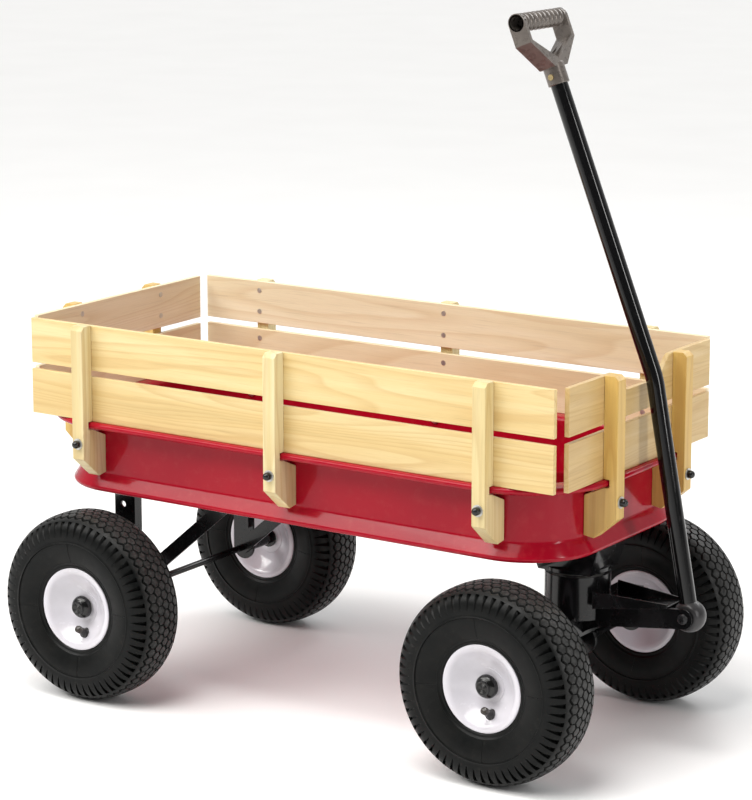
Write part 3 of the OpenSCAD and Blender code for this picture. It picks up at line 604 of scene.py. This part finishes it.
def crown(a):
    """Point of the tyre's skin at angle a in degrees: 0 is the widest place and 90 the tread's middle."""
    s, c = math.sin(math.radians(a)), math.cos(math.radians(a))
    return WIDEST_R + (TYRE_R - WIDEST_R) * s**CROWN_POWER, SKIN_HALF * c**CROWN_POWER


def tread_r(w):
    """Radius of the tread at distance w from the tyre's middle plane."""
    share = min(1.0, abs(w) / SKIN_HALF)
    return WIDEST_R + (TYRE_R - WIDEST_R) * (1 - share ** (2 / CROWN_POWER)) ** (CROWN_POWER / 2)


def tyre_shell():
    """A tyre with lugs on its shoulders, plain outer ribs and zigzag grooves in its tread."""
    sipe = 0.075
    even = [-sipe, 0, sipe, 0.25, 0.5 - sipe, 0.5, 0.5 + sipe, 0.75]
    rows = []  # each row: list of (phase, radius, width) for the points of one pitch

    def plain(r, w):
        """A row round the tyre without any pattern."""
        rows.append([(ph, r, w) for ph in even])

    def sidewall(r):
        """Half the tyre's width at a radius of its plain sidewall."""
        return SKIN_HALF - (WIDEST_R - r) ** 2 / 144

    def lug_row(a, sign):
        """A row across the shoulder lugs, whose sloping gaps widen and deepen towards the tread."""
        t = (a - LUGS[0]) / (LUGS[-1] - LUGS[0])
        half = 0.07 + 0.20 * t
        deep = 0.3 + 4.6 * t ** 0.8
        phases = [-half, -half + 0.035, 0.25 * half, half, 0.38, 0.5, 0.62, 1 - half - 0.06]
        drops = [0, deep, deep * 0.75, 0, 0, 0, 0, 0]
        r0, w0 = crown(a)
        r1, w1 = crown(a + 0.5)
        length = math.hypot(r1 - r0, w1 - w0)
        out_r, out_w = -(w1 - w0) / length, (r1 - r0) / length
        rows.append([(ph, r0 - out_r * d, sign * (w0 - out_w * d)) for ph, d in zip(phases, drops)])

    def zigzag(phase, k):
        """Sideways swing of groove k at a phase of the pitch."""
        swing = SWING * (1 - 4 * abs((phase % 1.0) - 0.5))
        return swing if k % 2 else -swing

    def tread_row(w, drop, swings, sipe_at=None):
        """A row round the tread at width w, following the zigzag of (groove, weight) pairs.

        sipe_at is the point of each pitch that a fine cut lowers.
        """
        row = []
        for j, ph in enumerate(even):
            shift = sum(weight * zigzag(ph, k) for k, weight in swings)
            cut = SIPE_DEPTH if j == sipe_at else 0.0
            row.append((ph, tread_r(w + shift) - drop - cut, w + shift))
        rows.append(row)

    def side(sign):
        """The sidewall from the bead to the shoulder rib, listed from the bead outwards."""
        plain(SEAT_R, sign * (RIM_HALF - 9))
        plain(SEAT_R, sign * (RIM_HALF - 4.2))
        plain(SEAT_R + 2.5, sign * (RIM_HALF - 1.7))
        plain(LIP_OUT, sign * (RIM_HALF - 0.7))
        for r, lift in SIDEWALL:
            plain(r, sign * (sidewall(r) + lift))
        for a in (2, 4.5, 6.5):
            r, w = crown(a)
            plain(r, sign * w)
        for a in LUGS:
            lug_row(a, sign)
        for a in (43.6, 46, 49, 52):
            r, w = crown(a)
            plain(r, sign * w)

    side(1)
    for k in range(len(GROOVES) - 1, -1, -1):
        w = GROOVES[k]
        here = [(k, 1.0)]
        for offset, drop in ((GROOVE_MOUTH, 0), (GROOVE_FLOOR, GROOVE_DEPTH),
                             (-GROOVE_FLOOR, GROOVE_DEPTH), (-GROOVE_MOUTH, 0)):
            tread_row(w + offset, drop, here)
        if k:
            between = w - (w - GROOVES[k - 1]) / 2
            neck = 1 if k % 2 else 5
            third = (w - GROOVES[k - 1]) / 4
            tread_row(between + third, 0, [(k, 0.6), (k - 1, 0.4)], neck)
            tread_row(between, 0, [(k, 0.5), (k - 1, 0.5)], neck)
            tread_row(between - third, 0, [(k, 0.4), (k - 1, 0.6)], neck)
    count = len(rows)
    side(-1)
    rows[count:] = rows[count:][::-1]
    for r, w in CASING:
        plain(r, w)
    rings = []
    for row in rows:
        ring = []
        for pitch in range(PITCHES):
            for phase, r, w in row:
                t = 2 * math.pi * (pitch + phase) / PITCHES
                ring.append((r * math.cos(t), r * math.sin(t), w))
        rings.append(ring)
    skin = grid(rings, close_rings=True)
    ribs = []
    for sign in (1, -1):
        for turn in (4, 94, 184, 274):
            ribs.append(mould_line(turn, sign, sidewall))
    return joined(skin, *ribs)


def mould_line(turn, sign, sidewall):
    """A fine raised line up the sidewall, where the mould's segments met."""
    rings = []
    for r in range(68, 97, 4):
        w = sidewall(r) - 0.6
        rings.append([(r, -0.4, sign * w), (r, 0.0, sign * (w + 0.7)), (r, 0.4, sign * w)])
    return moved(grid(rings), Matrix.Rotation(math.radians(turn), 4, "Z"))


def dish(r):
    """Distance of the wheel's bowl from its middle plane at radius r."""
    return HUB_HALF - 1 + (RIM_HALF - HUB_HALF) * (max(r - 17, 0) / (SEAT_R - 19)) ** 1.9


def rim_shell():
    """The pressed wheel: two bowls back to back with rolled lips, each with a raised arc by the hub."""
    front = [(12, 0), (12, HUB_HALF - 1.6), (12.6, HUB_HALF - 1), (17, dish(17))]
    front += [(r, dish(r)) for r in np.linspace(19, SEAT_R - 2, 22)]
    front += [(52.5, RIM_HALF + 0.4), (54.5, RIM_HALF + 1.0), (56.8, RIM_HALF + 1.3), (58.3, RIM_HALF + 1.2),
              (LIP_OUT, RIM_HALF + 0.6), (LIP_OUT + 0.1, RIM_HALF - 0.2), (58.2, RIM_HALF - 0.7),
              (55, RIM_HALF - 1.4), (SEAT_R, RIM_HALF - 4), (SEAT_R, 8)]
    back = [(r, -w) for r, w in reversed(front[1:])]
    bowl = lathe(front + back, 144, closed=True)
    arcs = []
    for sign in (1, -1):
        rings = []
        for i in range(49):
            t = math.radians(-62 + 165 * i / 48)
            swell = math.sin(math.pi * i / 48) ** 0.3
            ring = []
            for dr, up in ((-0.7, -0.3), (0, 0.9 * swell), (0.7, -0.3)):
                r = 23.5 + dr
                ring.append((r * math.cos(t), r * math.sin(t), sign * (dish(r) + up)))
            rings.append(ring)
        arcs.append(grid(rings))
    return joined(bowl, *arcs)


def cap_shell():
    """A push-on hub cap: a dome with a smaller raised disc that has a fine pattern of rings."""
    top = 13.4
    profile = [(0, 0.2), (15.4, 0.2), (16, 0.8), (16, 3.4), (15.7, 5.0), (14.9, 6.8), (13.6, 8.4),
               (11.9, 9.7), (10.3, 10.4), (9.7, 10.8), (9.6, 12.8), (9.2, 13.8), (8.5, 14.0), (7.8, 13.9),
               (7.5, top)]
    for r in (6.6, 5.4, 4.2, 3.0, 1.8):
        profile += [(r + 0.35, top), (r, top + 0.35), (r - 0.35, top)]
    profile.append((0, top))
    return lathe(profile, 72)


STEM_LEAN = Matrix.Rotation(math.radians(-32), 4, "Y")


def stem_shell():
    """A snap-in valve stem: rubber base and stalk leaning to the hub."""
    base = lathe([(0, -4), (5.6, -4), (5.6, 1.0), (6.3, 1.6), (6.2, 2.8), (5.2, 4.2), (0, 4.8)], 40)
    stalk_line = [(0, -1), (5.2, -1), (5.3, 1.2), (5.1, 3.4), (4.5, 5.6), (4.2, 7.5), (4.0, 9.2), (0, 9.4)]
    return joined(base, moved(lathe(stalk_line, 40), STEM_LEAN))


def valve_cap_shell():
    """The ribbed cap on a valve stem."""
    points, rib, ribbed_from = 36, 0.16, 3.8
    rings = []
    for h, r in ((9.0, 0.5), (9.0, 4.3), (9.5, 4.55), (14.2, 4.5), (15.4, 4.1), (16.4, 2.9), (16.7, 0.5)):
        ring = []
        for j in range(points):
            out = r + (rib if j % 2 and r > ribbed_from else 0)
            ring.append((out * math.cos(math.pi * j / 18), out * math.sin(math.pi * j / 18), h))
        rings.append(ring)
    return moved(grid(rings), STEM_LEAN)


STEM_TURN = {"rear_right": -80, "rear_left": 40, "front_right": -78, "front_left": 150}
STEM_R, STEM_Z, STEM_SCALE = math.hypot(6, 36), 24, 1.12
VALVE_CAP = moulded("valve_cap", (0.045, 0.038, 0.033), 0.20, 600)
# How far the cap stands from the wheel's middle plane: the hub, a gap and a washer
CAP_FROM = (HUB_HALF + 0.3 + 1.7) * MM
shared = {}


def shared_piece(name, kind, shell, body, material, replaced, matrix, sharp=32):
    """A piece whose mesh is the same as that of its like on the other wheels."""
    if kind not in shared:
        obj = piece(name, shell(), body, material, replaced, matrix, sharp)
        shared[kind] = obj.data
        return obj
    return piece_of(name, shared[kind], body, material, replaced, matrix, sharp)


for corner, stem_turn in STEM_TURN.items():
    lo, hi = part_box(f"{corner}_tyre")
    centre = (lo + hi) / 2
    side = 1 if centre.y > 0 else -1
    hub = Matrix.Translation(centre) @ Matrix.Rotation(math.radians(-90 * side), 4, "X")
    body = f"{corner}_wheel"
    shared_piece(f"{corner}_tyre_skin", "tyre", tyre_shell, body, RUBBER,
                 [f"{corner}_tyre"], hub, 38)
    shared_piece(f"{corner}_wheel_bowl", "rim", rim_shell, body, WHITE,
                 [f"{corner}_rim"], hub, 40)
    seat = Matrix.Translation((STEM_R * MM, 0, STEM_Z * MM)) @ Matrix.Scale(STEM_SCALE, 4)
    at_stem = hub @ Matrix.Rotation(math.radians(stem_turn), 4, "Z") @ seat
    shared_piece(f"{corner}_stem", "stem", stem_shell, body, STEM,
                 [f"{corner}_valve_stem"], at_stem)
    shared_piece(f"{corner}_stem_cap", "stem_cap", valve_cap_shell, body, VALVE_CAP,
                 (), at_stem)
    axle = corner.split("_")[0]
    shared_piece(f"{corner}_hub_cap", "hub_cap", cap_shell, "wagon" if axle == "rear" else "steering", CAP,
                 [f"{axle}_axle_caps"], hub @ Matrix.Translation((0, 0, CAP_FROM)))

# ---------------------------------------------------------------- handle
PIVOT = (517, 201)
LOWER_LEAN, UPPER_LEAN = 10.67, 21.75
LOWER_LEN, UPPER_LEN, BEND_R, TUBE_R = 318.5, 495, 120, 11.75
SLEEVE_R, BAR_R, BAR_HALF, BORE_R = 14.5, 12.5, 56, 9


def lean_axes(lean):
    """Directions along a tube that leans back, and forward across it, in X and Z."""
    a = math.radians(lean)
    return np.array([-math.sin(a), math.cos(a)]), np.array([math.cos(a), math.sin(a)])


TANGENT = BEND_R * math.tan(math.radians(UPPER_LEAN - LOWER_LEAN) / 2)
CORNER = np.array(PIVOT) + LOWER_LEN * lean_axes(LOWER_LEAN)[0]
BAR_AT = UPPER_LEN - TANGENT
SLEEVE_FROM, SLEEVE_TO = BAR_AT - 89, BAR_AT - 60


def tube_shell():
    """The bent tube, swept along its line."""
    stations = []
    for s in (9, 10, 60, 140, 220, LOWER_LEN - TANGENT):
        stations.append((np.array(PIVOT) + s * lean_axes(LOWER_LEAN)[0], LOWER_LEAN))
    start = CORNER - TANGENT * lean_axes(LOWER_LEAN)[0]
    middle = start - BEND_R * lean_axes(LOWER_LEAN)[1]
    for i in range(1, 12):
        lean = LOWER_LEAN + (UPPER_LEAN - LOWER_LEAN) * i / 12
        stations.append((middle + BEND_R * lean_axes(lean)[1], lean))
    for s in (0, 80, 160, 240, 320, SLEEVE_TO - 7):
        stations.append((CORNER + (TANGENT + s) * lean_axes(UPPER_LEAN)[0], UPPER_LEAN))
    rings = []
    for at, lean in stations:
        across = lean_axes(lean)[1] * TUBE_R
        rings.append([(at[0] + across[0] * math.cos(t), TUBE_R * math.sin(t), at[1] + across[1] * math.cos(t))
                      for t in (2 * math.pi * j / 64 for j in range(64))])
    return grid(rings)


piece("handle_tube_bent", tube_shell(), "handle", TUBE, ["handle_tube"])

UPPER = (Matrix.Translation((CORNER[0] + TANGENT * lean_axes(UPPER_LEAN)[0][0], 0,
                             CORNER[1] + TANGENT * lean_axes(UPPER_LEAN)[0][1]))
         @ Matrix.Rotation(math.radians(-UPPER_LEAN), 4, "Y"))


def bar_shell():
    """The hand bar with nine soft rings and an open end, along Y."""
    rings, collar, groove_r = 9, 8, 10.3
    pitch = 2 * (BAR_HALF - collar) / rings
    profile = [(BORE_R, -BAR_HALF), (BAR_R - 1.2, -BAR_HALF), (BAR_R - 0.3, -BAR_HALF + 0.4),
               (BAR_R, -BAR_HALF + 1.2), (BAR_R, -BAR_HALF + collar - 0.5), (groove_r, -BAR_HALF + collar)]
    for i in range(rings):
        for k in range(1, 13):
            h = -BAR_HALF + collar + pitch * (i + k / 12)
            profile.append((groove_r + (BAR_R - groove_r) * abs(math.sin(math.pi * k / 12)) ** 0.7, h))
    profile += [(r, -h) for r, h in reversed(profile[:5])]
    return moved(lathe(profile, 96, closed=True), FLAT_XZ)


def arm_shell():
    """One arm of the grip: a plate round the bar's end, bent in to the sleeve, with two fins."""
    half_w, t, knee, foot = 12.5, 6, -30, -60
    corner = math.atan2(-knee, half_w)
    angles = sorted([2 * math.pi * j / 96 for j in range(96)] + [math.pi + corner, -corner + 2 * math.pi])
    outer, inner = [], []
    for a in angles:
        c, s = math.cos(a), math.sin(a)
        reach = half_w
        if s < 0:
            reach = min(half_w / max(abs(c), 1e-6), -knee / -s)
        outer.append((reach * c, reach * s))
        inner.append((BORE_R * c, BORE_R * s))
    rings = [[(x, y, z) for x, z in shape] for shape, y in
             ((inner, BAR_HALF - t), (outer, BAR_HALF - t), (outer, BAR_HALF), (inner, BAR_HALF))]
    plate = grid(rings, close_rings=True)
    line = [(BAR_HALF, knee), (SLEEVE_R + 1.5, foot - 6), (SLEEVE_R - 4, foot - 6), (0, foot),
            (0, foot + 3.4), (BAR_HALF - t, knee + 3.2), (BAR_HALF - t, knee)]
    slant = extruded(line, -half_w, half_w)
    upright = Matrix(((0, 0, 1, 0), (1, 0, 0, 0), (0, 1, 0, 0), (0, 0, 0, 1)))
    fin = [(2, foot + 3), (34, foot + 23), (8, foot + 13), (2, foot + 13)]
    fins = [moved(extruded(fin, x - 0.8, x + 0.8), upright) for x in (-4.5, 4.5)]
    return joined(plate, moved(slant, upright), *fins)


def sleeve_shell():
    """The grip's sleeve round the end of the tube."""
    top, low = SLEEVE_TO - BAR_AT, SLEEVE_FROM - BAR_AT
    profile = [(TUBE_R, low), (SLEEVE_R - 0.8, low), (SLEEVE_R, low + 0.8), (SLEEVE_R, top - 6),
               (SLEEVE_R, top - 2), (SLEEVE_R - 2, top), (TUBE_R, top)]
    return lathe(profile, 72, closed=True)


MIRROR_Y = Matrix.Scale(-1, 4, (0, 1, 0))
at_bar = UPPER @ Matrix.Translation((0, 0, BAR_AT))
grip_shell = joined(bar_shell(), arm_shell(), moved(arm_shell(), MIRROR_Y), sleeve_shell())
grip_piece = piece("grip_handle", moved(grip_shell, at_bar), "handle", GRIP, ["grip"],
                   sharp=30)
bevel(grip_piece, 0.5, 2, 40)


def ball_shell():
    """The pull ball, cut flat where the straps hold it."""
    r, half = 22, 14.5
    edge = math.sqrt(r * r - half * half)
    a0 = math.degrees(math.asin(half / r))
    side = [(0, -half), (9, -half), (edge - 1.0, -half), (edge + 0.1, -half + 0.5)]
    front = [(x, z) for x, z in arc((0, 0), r, -a0 + 3, a0 - 3, 20)]
    profile = side + front + [(x, -z) for x, z in reversed(side)]
    return moved(lathe(profile, 96), Matrix.Translation((PIVOT[0], 0, PIVOT[1])) @ FLAT_XZ)


def pivot_screw_shell():
    """The pivot's screw along Z from its face: a domed head with a cross recess, and a plain shank."""
    steps, face_r, shank_r, shank_end = 120, 6.2, 4.0, 50.5
    cross_half, cross_r, cross_depth, dome_rise = 1.1, 3.6, 1.9, 0.9
    turn = [2 * math.pi * (j + 0.5) / steps for j in range(steps)]
    rings = []
    for r in (0.05, 0.6, 1.1, 1.3, 2.0, 2.8, 3.4, 3.7, 4.4, 5.0, 5.6, face_r):
        ring = []
        for t in turn:
            x, y = r * math.cos(t), r * math.sin(t)
            in_cross = min(abs(x), abs(y)) < cross_half and r < cross_r
            dome = dome_rise * (r / face_r) ** 2
            ring.append((x, y, dome + (cross_depth if in_cross else 0)))
        rings.append(ring)
    for r, h in ((6.5, 1.3), (7.4, 3.4), (shank_r, 3.5), (shank_r, shank_end)):
        rings.append([(r * math.cos(t), r * math.sin(t), h) for t in turn])
    return grid(rings)


screw_at = (Matrix.Translation((TRAY_X + PIVOT[0] * MM, -0.024, PIVOT[1] * MM))
            @ Matrix.Rotation(math.radians(-90), 4, "X") @ Matrix.Rotation(math.radians(25), 4, "Z"))
piece("pivot_screw", pivot_screw_shell(), "steering", OXIDE, ["pivot_bolt"], screw_at, sharp=40)

piece("pull_ball_moulded", ball_shell(), "handle", BALL, ["pull_ball"], sharp=40)

# ---------------------------------------------------------------- CAD nodes that stay
for node in ("rear_bracket_right", "rear_bracket_left", "rear_braces", "front_bolster", "steering_yoke",
             "tongue_channel"):
    dress(node, BLACK, 0.6)
dress("tongue_straps", BLACK, 1.1)
for node in ("rear_axle", "rear_axle_spacers", "front_axle", "front_axle_spacers"):
    dress(node, BLACK, 0.4)
dress("stake_cap_nuts", CAP, 0.15)
dress("grip_screw", BRASS, 0.3)
for node in ("slat_screws", "stake_bolts", "stake_washers", "chassis_bolts", "chassis_nuts", "pivot_nut",
             "rear_axle_washers", "front_axle_washers", "kingpin", "kingpin_nut",
             "thrust_washer", *(f"{corner}_bearings" for corner in STEM_TURN)):
    dress(node, ZINC, 0.2)

# ---------------------------------------------------------------- stage, lights and camera


def floor_material():
    """Plain pale studio floor."""
    p = Paint("studio_floor")
    colour = p.ramp(p.noise(3, 3), (0.3, (0.92, 0.92, 0.92)), (0.7, (0.94, 0.94, 0.94)))
    return p.finish(Base_Color=colour, Roughness=0.55, Specular_IOR_Level=0.3)


def looking(direction):
    """The rotation of a lamp or camera that looks along a direction."""
    return Vector(direction).to_track_quat("-Z", "Y").to_euler()


def area_light(name, at, target, size, power, tint=(1, 1, 1)):
    """A rectangular lamp that looks at a target."""
    data = bpy.data.lights.new(name, "AREA")
    data.shape = "RECTANGLE"
    data.size, data.size_y = size
    data.energy = power
    data.color = tint
    obj = bpy.data.objects.new(name, data)
    bpy.context.scene.collection.objects.link(obj)
    obj.location = at
    obj.rotation_euler = looking(Vector(target) - Vector(at))


floor_data = bpy.data.meshes.new("floor")
REACH = 20
floor_data.from_pydata([(-REACH, -REACH, 0), (REACH, -REACH, 0), (REACH, REACH, 0), (-REACH, REACH, 0)], [],
                       [(0, 1, 2, 3)])
floor_data.materials.append(floor_material())
floor = bpy.data.objects.new("floor", floor_data)
bpy.context.scene.collection.objects.link(floor)

world = bpy.data.worlds.new("studio")
world.use_nodes = True
sky = world.node_tree
# The room is darker where the wagon's near side looks and lighter behind it
ROOM_AXIS = (-0.52, 0.78, 0.35)
ROOM_RANGE = (-0.5, 0.9)  # of the direction along the axis
ROOM_LIGHT = (0.10, 0.80)  # the world's strength at the two ends of that range
toward = sky.nodes.new("ShaderNodeVectorMath")
toward.operation = "DOT_PRODUCT"
toward.inputs[1].default_value = ROOM_AXIS
sky.links.new(sky.nodes.new("ShaderNodeTexCoord").outputs["Generated"], toward.inputs[0])
shade = sky.nodes.new("ShaderNodeMapRange")
shade.interpolation_type = "SMOOTHSTEP"
for index, value in enumerate(ROOM_RANGE + ROOM_LIGHT):
    shade.inputs[index + 1].default_value = value
sky.links.new(toward.outputs["Value"], shade.inputs[0])
sky.links.new(shade.outputs[0], sky.nodes["Background"].inputs["Strength"])
sky.nodes["Background"].inputs["Color"].default_value = (1, 1, 1, 1)
bpy.context.scene.world = world

sun_data = bpy.data.lights.new("key", "SUN")
sun_data.energy = 2.05
sun_data.angle = math.radians(50)
sun_data.color = (1.0, 0.985, 0.955)
sun = bpy.data.objects.new("key", sun_data)
bpy.context.scene.collection.objects.link(sun)
sun.rotation_euler = looking((0.35, 0.95, -1.5))

middle = (0, 0, 0.35)
area_light("near", (-2.3, -2.4, 2.6), middle, (2.8, 1.1), 54, (1.0, 0.985, 0.96))
area_light("top", (0.2, -1.1, 3.3), middle, (1.6, 0.8), 36, (1.0, 0.99, 0.97))
area_light("side", (3.0, -0.4, 1.3), middle, (0.4, 1.6), 24, (1.0, 0.99, 0.98))
area_light("back", (0.4, 3.0, 2.4), middle, (2.4, 0.6), 30)

camera_data = bpy.data.cameras.new("camera")
camera = bpy.data.objects.new("camera", camera_data)
bpy.context.scene.collection.objects.link(camera)
camera.location = (2.24655, -3.3688, 1.3362)
aim = Vector((-0.02145, 0.0083, 0.4972))
camera.rotation_euler = looking(aim - camera.location)
camera_data.sensor_width = 36
camera_data.lens = 133.96
camera_data.shift_y = -0.06
camera_data.clip_end = 100
bpy.context.scene.camera = camera
bpy.context.scene.view_settings.view_transform = "Standard"
